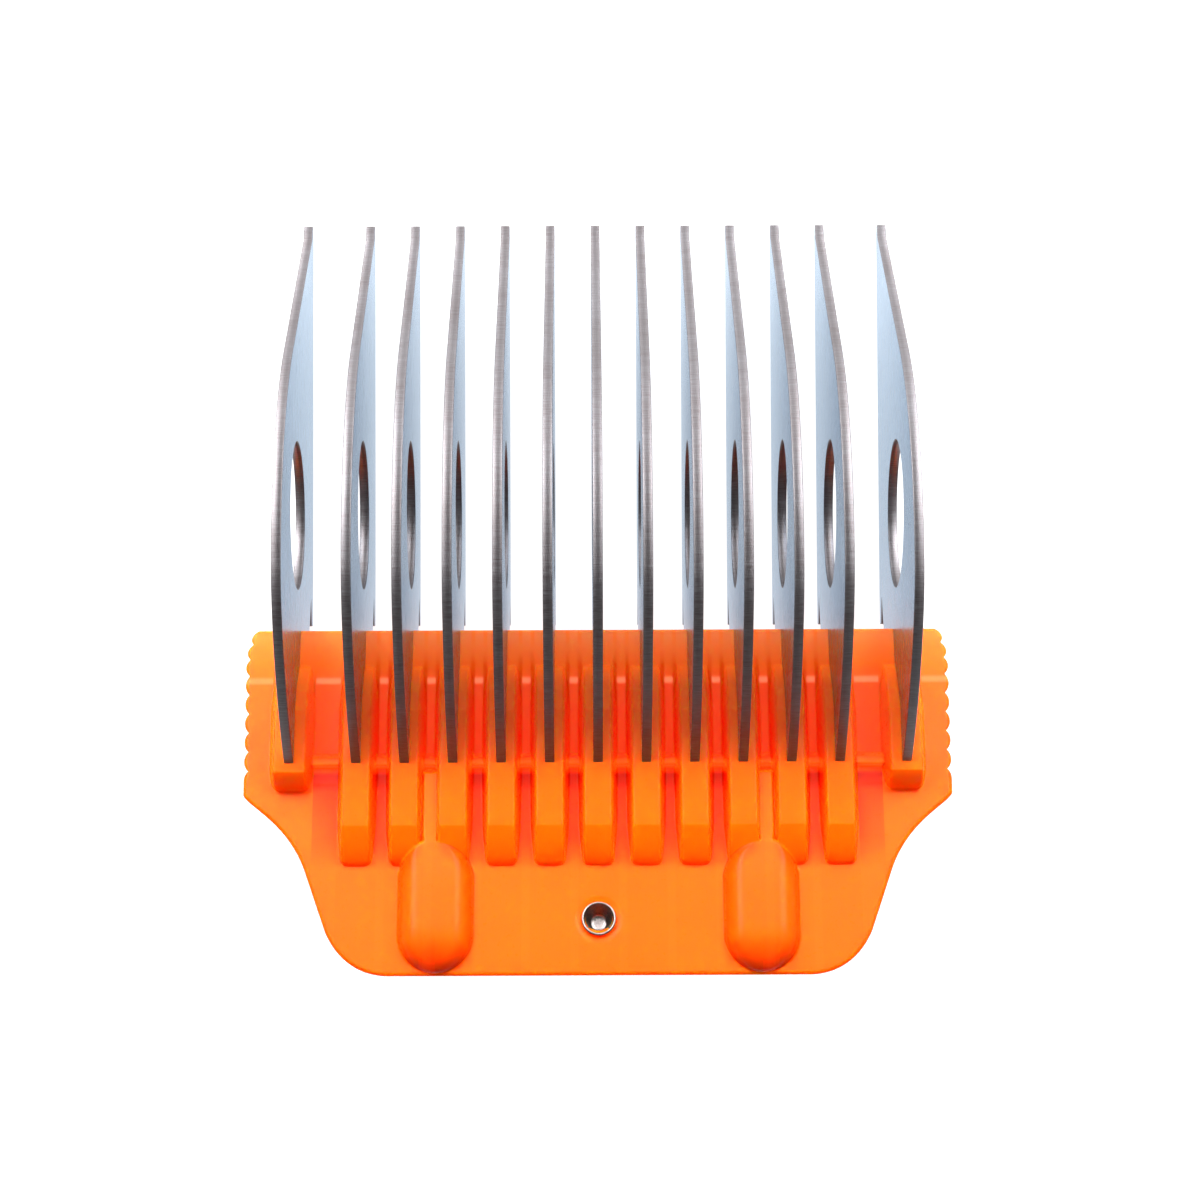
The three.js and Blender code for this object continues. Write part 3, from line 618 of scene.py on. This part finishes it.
def rib_top(d, outer):
    """Height of a rib's top along its length, falling at its end to the floor."""
    line_d, line_z = zip(*RIB_TOP)
    end, foot = (OUTER_RIB_END_D, OUTER_RIB_FOOT_D) if outer else (RIB_END_D, RIB_FOOT_D)
    drop = np.interp(foot, line_d, line_z) - plane_z(foot)
    t = np.clip((d - end) / (foot - end), 0, 1)
    fall = RIB_END_SLANT * t + (1 - RIB_END_SLANT) * (1 - quarter_ellipse(t))
    return np.interp(d, line_d, line_z) - drop * fall - RIB_PLUNGE * np.clip(d - foot, 0, None)


def rib_height(x, d, centre, outer, ground):
    """Height field of one rib: flat top, rounded edges, drafted walls and a small fillet at its foot."""
    full_half, foot = (OUTER_RIB_HALF, OUTER_RIB_FOOT_D) if outer else (RIB_HALF, RIB_FOOT_D)
    half = full_half - RIB_CORNER * (1 - quarter_ellipse((d - foot + RIB_CORNER) / RIB_CORNER))
    top = rib_top(d, outer)
    off = np.abs(x - centre)
    rounded = top - round_drop(off - half + RIB_EDGE, RIB_EDGE)
    wall = top - RIB_EDGE - (off - half) / RIB_DRAFT
    rise = np.clip(top - RIB_EDGE - ground, 0, None)
    radius = RIB_FILLET * np.clip(rise / RIB_FILLET_FULL_RISE, 0, 1)
    fillet = ground + round_drop(radius - (off - half - rise * RIB_DRAFT), radius)
    fillet = np.where(d < foot - RIB_FILLET_STOP, fillet, ground)
    return np.maximum(np.where(off <= half, rounded, wall), np.minimum(fillet, top))


def ridge_height(d):
    """The low step that runs across between the ribs, with the shallow trough behind it."""
    before_fall = 1 - rise_from(d, RIDGE_FALL_D, RIDGE_FALL_RUN)
    ridge = rise_from(d, RIDGE_START_D, RIDGE_RISE_RUN) * before_fall
    before_rise = 1 - rise_from(d, TROUGH_RISE_D, TROUGH_RISE_RUN)
    trough = rise_from(d, TROUGH_START_D, TROUGH_FALL_RUN) * before_rise
    return ridge * RIDGE_HEIGHT - trough * TROUGH_DEPTH


def blister_sides(d, inset):
    """Places of a blister's inner and outer edges at d, continued upwards as its narrow stem."""
    round_end = 1 - quarter_ellipse((d - BLISTER_ROUND_D) / (BLISTER_END_D - inset - BLISTER_ROUND_D))
    swell = quarter_ellipse((BLISTER_SHOULDER_D - d) / (BLISTER_SHOULDER_D - BLISTER_TOP_D))
    stem_inner, stem_outer = STEM_X - STEM_HALF, STEM_X + STEM_HALF
    inner = stem_inner + (BLISTER_X - BLISTER_HALF - stem_inner) * swell**BLISTER_SWELL
    outer = stem_outer + (BLISTER_X + BLISTER_HALF - stem_outer) * swell**BLISTER_SWELL
    return inner + BLISTER_HALF * round_end + inset, outer - BLISTER_HALF * round_end - inset


def blister_height(x, d, inset):
    """Height of the screw blisters and their stems above the plane."""
    inner, outer = blister_sides(d, inset)
    narrowest = 0.02
    half = np.clip((outer - inner) / 2, narrowest, None)
    off = np.abs(np.abs(x) - (inner + outer) / 2)
    grown = rise_from(d, BLISTER_TOP_D - 1, BLISTER_SHOULDER_D - BLISTER_TOP_D + 1)
    side = np.minimum(half, STEM_SIDE + (BLISTER_SIDE - STEM_SIDE) * grown)
    t_side = np.clip((off - half + side) / side, 0, 1)
    across = (1 - t_side**BLISTER_SIDE_POWER) ** BLISTER_ROOT_POWER
    t_end = np.clip((d - BLISTER_FLAT_END_D) / (BLISTER_END_D - inset - BLISTER_FLAT_END_D), 0, 1)
    along = (1 - t_end**BLISTER_END_POWER) ** BLISTER_ROOT_POWER
    start = STEM_START_D if inset == 0 else BLISTER_TOP_D + inset
    height = STEM_HEIGHT + (BLISTER_HEIGHT - STEM_HEIGHT) * grown
    return height * across * along * rise_from(d, start, STEM_RISE)


def stem_step(x, d):
    """The floor raised beside the stems."""
    across = rise_from(STEM_STEP_HALF - np.abs(np.abs(x) - STEM_X), 0, STEM_STEP_RUN)
    along = rise_from(d, STEM_START_D, STEM_STEP_RISE) * (1 - rise_from(d, STEM_STEP_END_D, STEM_STEP_FALL))
    return STEM_STEP * across * along


def front_height(x, d, edge):
    """Height of the front: floor, ridge, blisters and ribs, less the rivet's seat and the rounded edges."""
    z = floor_front(d) + ridge_height(d) * (np.abs(x) < TOOTH_X[-1]) + stem_step(x, d)
    z = smooth_max(z, plane_z(d) + blister_height(x, d, 0) - BLISTER_SINK, BLISTER_FILL)
    rib_reach = (TOOTH_X[-1] - TOOTH_X[-2]) * 0.7
    for i, centre in enumerate(TOOTH_X):
        near = (np.abs(x - centre) < rib_reach) & (d < RIB_FOOT_D + RIB_CORNER)
        z = np.where(near, np.maximum(z, rib_height(x, d, centre, is_outer(i), z)), z)
    radius = np.hypot(x, (d - RIVET_D) / math.cos(FLOOR_ANGLE))
    dish = DISH_DEPTH * (1 - rise_from(radius, DISH_HALF, DISH_RUN))
    seat = RIVET_SEAT_DEPTH * (1 - rise_from(radius, RIVET_SEAT_HALF, RIVET_SEAT_RUN))
    rim = round_drop(EDGE_RADIUS - edge, EDGE_RADIUS)
    return z - dish - seat - rim - round_drop(SMALL_EDGE_RADIUS + LIP_D - d, SMALL_EDGE_RADIUS)


def back_height(x, d, edge, front):
    """Height of the body's back: seat and skirt, hollows, cores between the roots and the rounded edges."""
    seat = seat_z(d)
    within_skirt = rise_from(edge, SKIRT, POCKET_RUN)
    pocket = within_skirt * rise_from(d, POCKET_D, POCKET_RUN)
    notch = rise_from(NOTCH_HALF - np.abs(x), 0, NOTCH_RUN)
    notch = notch * rise_from(d, LENGTH - SKIRT - NOTCH_LENGTH, POCKET_RUN)
    z = seat + (plane_z(d) - WALL - seat) * np.maximum(pocket, notch)
    z = z + blister_height(x, d, HOLLOW_INSET) * HOLLOW_SHARE * within_skirt
    core_depth = CORE_DEPTH + CORE_EXTRA_DEPTH * (d - CORE_START_D) / (CORE_END_D - CORE_START_D)
    core_along = rise_from(d, CORE_START_D, CORE_RUN) * rise_from(CORE_END_D - d, 0, CORE_RUN)
    for a, b in zip(TOOTH_X[1:-2], TOOTH_X[2:-1]):
        core_across = rise_from(CORE_HALF - np.abs(x - (a + b) / 2), 0, CORE_RUN)
        z = z + core_depth * core_across * core_along
    for inward in (edge, d - LIP_D):
        z = z + round_drop(SMALL_EDGE_RADIUS - inward, SMALL_EDGE_RADIUS)
    return np.minimum(z, front - THINNEST)


def build_body():
    x, d = body_grid()
    edge = outline_distance(x, d)
    front = front_height(x, d, edge)
    back = back_height(x, d, edge, front)
    rows, columns = x.shape
    y = y_at(d)
    front_points = np.stack([x, y, front], -1).reshape(-1, 3)
    back_points = np.stack([x, y, back], -1).reshape(-1, 3)
    index = np.arange(rows * columns).reshape(rows, columns)
    offset = rows * columns
    quads = np.stack([index[:-1, :-1], index[1:, :-1], index[1:, 1:], index[:-1, 1:]], -1).reshape(-1, 4)
    faces = [quads, quads[:, ::-1] + offset]
    ring = np.concatenate([index[0, :], index[1:, -1], index[-1, -2::-1], index[-2:0:-1, 0]])
    following = np.roll(ring, -1)
    # The rim between front and back has rows of its own, so that its shading stays even.
    levels = 6
    points = [front_points, back_points]
    previous = ring
    previous_next = following
    made = 2 * offset
    for level in range(1, levels):
        share = level / levels
        points.append(front_points[ring] * (1 - share) + back_points[ring] * share)
        current = made + np.arange(len(ring))
        current_next = made + np.roll(np.arange(len(ring)), -1)
        faces.append(np.stack([previous, previous_next, current_next, current], -1))
        previous, previous_next = current, current_next
        made += len(ring)
    faces.append(np.stack([previous, previous_next, following + offset, ring + offset], -1))
    obj = mesh_object("moulded_body", np.vstack(points), np.vstack(faces).tolist())
    obj.data.materials.append(PLASTIC_MATERIAL)
    return obj


# ---- Flat stampings ----


def stamped(name, outline, holes, thickness, bevel):
    """A flat sheet in its own plane, from its closed outline and holes, with bevelled edges."""
    curve = bpy.data.curves.new(name + "_curve", "CURVE")
    curve.dimensions = "2D"
    curve.fill_mode = "BOTH"
    curve.extrude = (thickness / 2 - bevel) * MM
    curve.bevel_depth = bevel * MM
    curve.bevel_resolution = 2
    curve.offset = -bevel * MM
    for loop in (outline, *holes):
        spline = curve.splines.new("POLY")
        spline.points.add(len(loop) - 1)
        for point, (u, v) in zip(spline.points, loop):
            point.co = (u * MM, v * MM, 0, 1)
        spline.use_cyclic_u = True
    source = bpy.data.objects.new(name + "_source", curve)
    bpy.context.scene.collection.objects.link(source)
    bpy.context.view_layer.update()
    mesh = bpy.data.meshes.new_from_object(source.evaluated_get(bpy.context.evaluated_depsgraph_get()))
    mesh.name = name
    bpy.data.objects.remove(source)
    bpy.data.curves.remove(curve)
    clean_up(mesh, 1e-7)
    return mesh


def circle(centre, radius, count):
    angles = np.linspace(0, 2 * math.pi, count, endpoint=False)
    return [(centre[0] + radius * math.cos(a), centre[1] + radius * math.sin(a)) for a in angles]


def tooth_outline():
    """Side outline of a tooth as (d, z) points: tip, ramp, crown, heel, root and the slot at its prong."""
    tip = [(TIP_RADIUS + TIP_RADIUS * math.cos(a), TIP_RADIUS + TIP_RADIUS * math.sin(a))
           for a in np.linspace(1.5 * math.pi, 0.8 * math.pi, 14)]
    crown = [(CROWN_D - off, CROWN_Z - CROWN_RADIUS + math.sqrt(CROWN_RADIUS**2 - off**2))
             for off in np.linspace(CROWN_RADIUS * math.sin(math.atan(RAMP_SLOPE)), 0, 60)]
    heel = bezier((CROWN_D, CROWN_Z), (CROWN_D + CROWN_REACH, CROWN_Z),
                  (HEEL_D - HEEL_REACH_D, HEEL_Z + HEEL_REACH_Z), (HEEL_D, HEEL_Z), 60)
    slot_d = PRONG_D - WEDGE_DEPTH
    slot = [(slot_d, WEDGE_TOP_Z), (slot_d, WEDGE_LOW_Z), (PRONG_D, WEDGE_MOUTH_Z), (PRONG_D, 0)]
    return [*tip, (RAMP_START_D, RAMP_START_Z), *crown, *heel[1:].tolist(), *TOOTH_ROOT, *slot]


def build_teeth():
    outline = [(y_at(d), z) for d, z in tooth_outline()]
    window = circle((y_at(HOLE_D), HOLE_Z), HOLE_RADIUS, 144)
    mesh = stamped("tooth_shape", outline, [window], TOOTH_THICKNESS, STAMPED_EDGE)
    mesh.materials.clear()
    mesh.materials.append(FACE_STEEL)
    mesh.materials.append(EDGE_STEEL)
    for polygon in mesh.polygons:
        flat = abs(polygon.normal.z) > 0.9
        polygon.material_index = 0 if flat else 1
        polygon.use_smooth = not flat
    # From the sheet's own plane to its place: its first axis is y, its second z and its third x.
    side_to_world = Matrix(((0, 0, 1, 0), (1, 0, 0, 0), (0, 1, 0, 0), (0, 0, 0, 1)))
    for node, x in zip(TOOTH_NAMES, TOOTH_X):
        placed = mesh.copy()
        placed.transform(Matrix.Translation((x * MM, 0, 0)) @ side_to_world)
        placed.update()
        obj = bpy.data.objects.new("steel_" + node, placed)
        bpy.context.scene.collection.objects.link(obj)
        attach(obj, "comb")
        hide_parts(node)


# ---- Rivet ----


def floor_frame(d):
    """The frame on the plane at d, x across, y to the tips and z outwards, as its axes and its origin."""
    sin, cos = math.sin(FLOOR_ANGLE), math.cos(FLOOR_ANGLE)
    return np.array([[1, 0, 0], [0, cos, sin], [0, -sin, cos]]), np.array([0, y_at(d), plane_z(d)])


def rivet_profile():
    """The rivet's section as (radius, height): domed head, shank, rolled rim and cup."""
    inner = -WALL * math.cos(FLOOR_ANGLE) - SPRING_THICKNESS - RIVET_PLAY
    roll = (RIVET_RIM - RIVET_CUP_TOP) / 2
    rim_middle = (RIVET_RIM + RIVET_CUP_TOP) / 2
    rim_z = RIVET_RIM_HEIGHT - roll
    head = [(RIVET_HEAD * math.sin(a), inner - RIVET_HEAD_HEIGHT * math.cos(a))
            for a in np.linspace(0, math.pi / 2, 14)]
    shank = [(RIVET_SHANK, inner), (RIVET_SHANK, -0.2), (RIVET_RIM - 0.12, -0.08)]
    rim = [(rim_middle + roll * math.cos(a), rim_z + roll * math.sin(a))
           for a in np.linspace(-0.15 * math.pi, 1.05 * math.pi, 14)]
    cup = bezier((RIVET_CUP_TOP - 0.02, rim_z - 0.12), (RIVET_CUP_TOP - 0.1, -0.5),
                 (RIVET_CUP_LOW + 0.12, -1.1), (RIVET_CUP_LOW, -RIVET_CUP_DEPTH + 0.12), 14).tolist()
    floor = [(RIVET_CUP_LOW - 0.12, -RIVET_CUP_DEPTH + 0.02), (0.4, -RIVET_CUP_DEPTH),
             (0.0, -RIVET_CUP_DEPTH)]
    return head + shank + rim + cup + floor


def build_rivet():
    profile = rivet_profile()
    count = 96
    angles = [2 * math.pi * i / count for i in range(count)]
    points = [(r * math.cos(a), r * math.sin(a), z) for r, z in profile for a in angles]
    faces = []
    for i in range(len(profile) - 1):
        for j in range(count):
            a, b = i * count + j, i * count + (j + 1) % count
            faces.append((a, b, b + count, a + count))
    turn, origin = floor_frame(RIVET_D)
    obj = mesh_object("rivet_shape", np.array(points) @ turn.T + origin, faces)
    clean_up(obj.data, 1e-8)
    obj.data.materials.append(RIVET_STEEL)
    return obj


# ---- Latch spring ----


def spring_path():
    """The strip's middle line in the spring's own frame: a runs back, h runs away from the body."""
    middle = SPRING_THICKNESS / 2
    bend = BEND_GAP / 2 + middle
    level = BEND_GAP + SPRING_THICKNESS + middle
    end = ARM_LENGTH - middle
    catch_a = end - HOOK_CATCH
    low = level + HOOK_DROP
    foot = [(FOOT_LENGTH, middle), (FOOT_LENGTH - 0.8, middle), (STRAIGHT_START, middle)]
    turn = [(-bend * math.cos(a), middle + bend - bend * math.sin(a))
            for a in np.linspace(math.pi / 2, -math.pi / 2, 24)]
    corner = [(end - ARM_CORNER + ARM_CORNER * math.sin(a), level + ARM_CORNER - ARM_CORNER * math.cos(a))
              for a in np.linspace(0, math.pi / 2, 9)]
    catch = bezier((end - 0.15, low - 1.3), (end - 0.3, low - 0.5),
                   (catch_a, low - 0.4), (catch_a, low + 0.3), 9)
    lip = [(catch_a + 0.15, low + 0.75), (end - 0.75, low + HOOK_LIP - 0.05)]
    return np.array(foot + turn + [(STRAIGHT_START, level)] + corner + catch.tolist() + lip)


def spring_sheet(along, path):
    """The flat strip before it is bent, with its rounded corners, rivet hole and access hole."""
    total = along[-1]
    hole_a = (RIVET_D - BEND_D) / math.cos(FLOOR_ANGLE)
    on_arm = (path[:, 1] > BEND_GAP + SPRING_THICKNESS) & (path[:, 0] > STRAIGHT_START - 0.1)
    arm_start = along[np.argmax(on_arm)]
    foot_hole = circle((FOOT_LENGTH - hole_a, 0), FOOT_HOLE_RADIUS, 64)
    arm_hole = circle((arm_start + hole_a - STRAIGHT_START, 0), ACCESS_RADIUS, 80)
    low, high = SPRING_CORNER, total - SPRING_CORNER
    side = SPRING_WIDTH / 2 - SPRING_CORNER
    outline = []
    for quarter, (cx, cy) in enumerate(((high, side), (low, side), (low, -side), (high, -side))):
        for a in np.linspace(quarter * math.pi / 2, (quarter + 1) * math.pi / 2, 9):
            outline.append((cx + SPRING_CORNER * math.cos(a), cy + SPRING_CORNER * math.sin(a)))
    return stamped("spring_shape", outline, [foot_hole, arm_hole], SPRING_THICKNESS, STAMPED_EDGE)


def bend_strip(mesh, path, along):
    """Cuts the flat strip across at every point of the path and lays it along the path."""
    shape = bmesh.new()
    shape.from_mesh(mesh)
    for s in np.concatenate([along[1:-1], np.arange(1, along[-1], 0.8)]):
        everything = [*shape.verts, *shape.edges, *shape.faces]
        cut = Vector((s * MM, 0, 0))
        bmesh.ops.bisect_plane(shape, geom=everything, plane_co=cut, plane_no=(1, 0, 0), dist=1e-7)
    direction = np.gradient(path, along, axis=0)
    direction /= np.linalg.norm(direction, axis=1)[:, None]
    for vertex in shape.verts:
        s, across, off = (c / MM for c in vertex.co)
        a, h = (np.interp(s, along, path[:, k]) for k in (0, 1))
        da, dh = (np.interp(s, along, direction[:, k]) for k in (0, 1))
        length = math.hypot(da, dh)
        vertex.co = spring_place(across, a + off * dh / length, h - off * da / length)
    bmesh.ops.recalc_face_normals(shape, faces=shape.faces)
    shape.to_mesh(mesh)
    shape.free()


def spring_place(across, a, h):
    """A point of the spring's own frame, in metres."""
    sin, cos = math.sin(FLOOR_ANGLE), math.cos(FLOOR_ANGLE)
    y = y_at(BEND_D) - a * cos - h * sin
    z = plane_z(BEND_D) - WALL - SPRING_PLAY + a * sin - h * cos
    return Vector((across, y, z)) * MM


def build_spring():
    path = spring_path()
    steps = np.linalg.norm(np.diff(path, axis=0), axis=1)
    along = np.concatenate([[0], np.cumsum(steps)])
    mesh = spring_sheet(along, path)
    bend_strip(mesh, path, along)
    mesh.materials.clear()
    mesh.materials.append(SPRING_STEEL)
    mesh.polygons.foreach_set("use_smooth", [True] * len(mesh.polygons))
    mesh.set_sharp_from_angle(angle=math.radians(40))
    obj = bpy.data.objects.new("latch_spring", mesh)
    bpy.context.scene.collection.objects.link(obj)

    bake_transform(obj)
    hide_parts("latch_spring_foot", "latch_spring_arm")


# ---- Setting ----

CAMERA_TURN = tuple(math.radians(a) for a in (-3.1138, -0.3195, -0.2192))
CAMERA_SHIFT = (-0.5125, -37.978, 298.368)
CAMERA_LENS = 87.99
STUDIO_FLOOR_Z, FLOOR_SIZE = -0.4, 4000.0
LIGHT_PLACE, LIGHT_SIZE, LIGHT_TARGET = (280, 420, 430), (320, 480), (0, 0, 10)
LEFT_POWER, RIGHT_POWER = 7.4, 6.0
# How bright the world is from behind the tail to in front of the tips, as (position, level).
WORLD_LEVELS = [(0.0, 0.05), (0.45, 0.08), (0.58, 0.12), (0.72, 0.5), (0.82, 0.9), (1.0, 1.0)]


def build_camera():
    rx, ry, rz = CAMERA_TURN
    turn = (Matrix.Rotation(rz, 3, "Z") @ Matrix.Rotation(ry, 3, "Y") @ Matrix.Rotation(rx, 3, "X")
            @ Matrix.Diagonal((1, -1, -1)))
    place = -(turn.transposed() @ Vector(CAMERA_SHIFT)) + Vector((0, TIP_Y, 0))
    data = bpy.data.cameras.new("camera")
    data.lens = CAMERA_LENS
    data.clip_start, data.clip_end = 0.01, 10
    camera = bpy.data.objects.new("camera", data)
    bpy.context.scene.collection.objects.link(camera)
    axes = Matrix((turn[0], -turn[1], -turn[2])).transposed()
    camera.matrix_world = Matrix.Translation(place * MM) @ axes.to_4x4()
    bpy.context.scene.camera = camera


def build_floor():
    corners = [(x * FLOOR_SIZE, y * FLOOR_SIZE, STUDIO_FLOOR_Z)
               for x, y in ((-1, -1), (1, -1), (1, 1), (-1, 1))]
    obj = mesh_object("floor", corners, [(0, 1, 2, 3)], smooth=False)
    n = Nodes("pale_floor")
    cloud = n.noise(0.01, 2.0)
    greys = n.ramp(cloud, [(0.3, (0.28, 0.28, 0.28)), (0.7, (0.3, 0.3, 0.3))])
    n.link(greys, n.shader.inputs["Base Color"])
    n.shader.inputs["Roughness"].default_value = 0.9
    n.shader.inputs["Emission Color"].default_value = (1, 1, 1, 1)
    n.shader.inputs["Emission Strength"].default_value = 1.0
    obj.data.materials.append(n.material)


def area_light(name, side, power):
    """A soft light above the tips, on the left where side is -1 and on the right where it is 1."""
    data = bpy.data.lights.new(name, "AREA")
    data.shape = "RECTANGLE"
    data.size, data.size_y = (s * MM for s in LIGHT_SIZE)
    data.energy = power
    obj = bpy.data.objects.new(name, data)
    place = Vector((side * LIGHT_PLACE[0], LIGHT_PLACE[1], LIGHT_PLACE[2]))
    obj.location = place * MM
    obj.rotation_euler = (Vector(LIGHT_TARGET) - place).to_track_quat("-Z", "Y").to_euler()
    bpy.context.scene.collection.objects.link(obj)


def build_world():
    """Soft light from all around, brighter from the tips' side."""
    world = bpy.data.worlds.new("studio")
    world.use_nodes = True
    tree = world.node_tree
    background = tree.nodes["Background"]
    direction = tree.nodes.new("ShaderNodeTexCoord")
    toward = tree.nodes.new("ShaderNodeVectorMath")
    toward.operation = "DOT_PRODUCT"
    toward.inputs[1].default_value = (0, 1, 0)
    tree.links.new(direction.outputs["Generated"], toward.inputs[0])
    ramp = tree.nodes.new("ShaderNodeValToRGB")
    while len(ramp.color_ramp.elements) < len(WORLD_LEVELS):
        ramp.color_ramp.elements.new(0.5)
    for element, (position, level) in zip(ramp.color_ramp.elements, WORLD_LEVELS):
        element.position = position
        element.color = (level, level, level, 1)
    tree.links.new(toward.outputs["Value"], ramp.inputs["Fac"])
    tree.links.new(ramp.outputs["Color"], background.inputs["Color"])
    background.inputs["Strength"].default_value = 3.2
    bpy.context.scene.world = world
    bpy.context.scene.view_settings.view_transform = "Standard"


body = build_body()
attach(body, "comb")
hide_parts("comb_body")
build_teeth()
rivet = build_rivet()
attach(rivet, "comb")
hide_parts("rivet")
build_spring()
build_floor()
area_light("left", -1, LEFT_POWER)
area_light("right", 1, RIGHT_POWER)
build_world()
build_camera()
